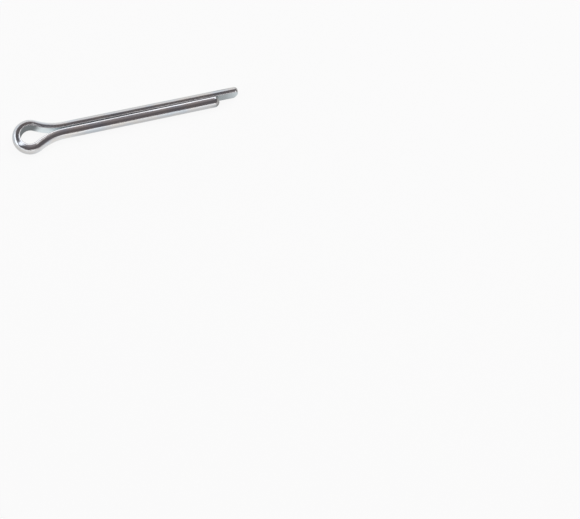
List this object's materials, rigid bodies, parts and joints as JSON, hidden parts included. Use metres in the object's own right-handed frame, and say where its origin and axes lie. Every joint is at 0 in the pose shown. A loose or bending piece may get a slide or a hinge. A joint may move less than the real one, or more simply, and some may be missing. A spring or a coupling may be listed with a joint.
{
  "type": "cotter pin",
  "caption": "Split cotter pin bent from half-round wire, with a round eye and one prong longer than the other, pushed through a cross hole and spread to lock a bolt, axle or clevis pin.",
  "frame": {"origin": "on the shank's axis where the two prongs turn straight, just under the eye", "axes": "+X along the shank towards the prong tips, +Y across the split towards the long prong, +Z through the eye, upwards as the pin lies flat"},
  "size_m": [0.0516, 0.008, 0.0038],
  "materials": {
    "plated_steel": "bright zinc plating, glossy, with faint drawing lines"
  },
  "bodies": {
    "root": {"cotter_pin": "plated_steel"}
  },
  "joints": []
}
